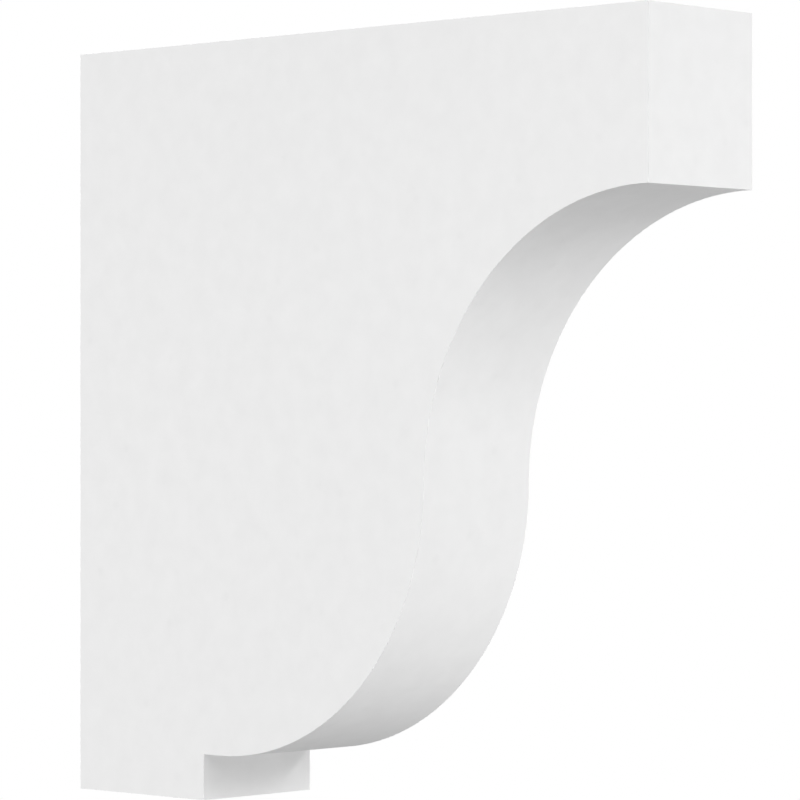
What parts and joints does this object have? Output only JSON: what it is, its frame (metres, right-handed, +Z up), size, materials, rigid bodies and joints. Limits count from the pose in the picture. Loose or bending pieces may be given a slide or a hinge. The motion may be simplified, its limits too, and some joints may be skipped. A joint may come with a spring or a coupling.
{
  "type": "architectural bracket",
  "caption": "Solid block bracket with a square nose, a smooth S-curved underside sweeping back to a short foot, and a flat back that fixes to a wall.",
  "frame": {"origin": "centre of the flat back, which bears on the wall", "axes": "+X across the width, +Y out of the back into the wall, so the nose is at -Y, +Z up, out of the flat top"},
  "size_m": [0.1016, 0.508, 0.508],
  "materials": {
    "white_pvc": "smooth satin, unpainted"
  },
  "bodies": {
    "root": {"bracket": "white_pvc"}
  },
  "joints": []
}
